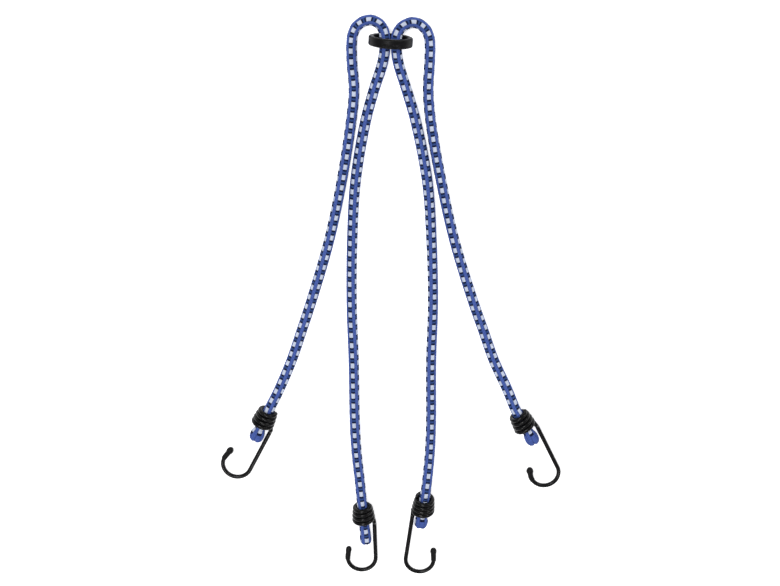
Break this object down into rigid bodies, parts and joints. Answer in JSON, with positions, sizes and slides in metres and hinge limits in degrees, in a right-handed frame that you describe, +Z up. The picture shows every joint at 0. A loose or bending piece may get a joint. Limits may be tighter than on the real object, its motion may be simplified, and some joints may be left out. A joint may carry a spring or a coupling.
{
  "type": "spider bungee strap",
  "caption": "Elastic tie-down strap: braided cords looped through a central ring, each end fixed in the coil of a coated wire hook.",
  "frame": {"origin": "on the surface, under the middle of the box around the ring and the hooks", "axes": "+Y from the hooks towards the ring, +X to the right, +Z up"},
  "size_m": [0.2705, 0.4514, 0.0319],
  "materials": {
    "cord": "braided sheath, royal blue with white and black tracers",
    "wire": "glossy black coating on steel wire",
    "dip": "satin black dipped tip",
    "ring": "satin black moulding"
  },
  "bodies": {
    "root": {"cord_left": "cord", "cord_right": "cord", "ring": "ring", "hook_outer_left": "wire", "tip_outer_left": "dip", "cord_end_outer_left": "cord", "hook_inner_left": "wire", "tip_inner_left": "dip", "cord_end_inner_left": "cord", "hook_inner_right": "wire", "tip_inner_right": "dip", "cord_end_inner_right": "cord", "hook_outer_right": "wire", "tip_outer_right": "dip", "cord_end_outer_right": "cord"}
  },
  "joints": []
}
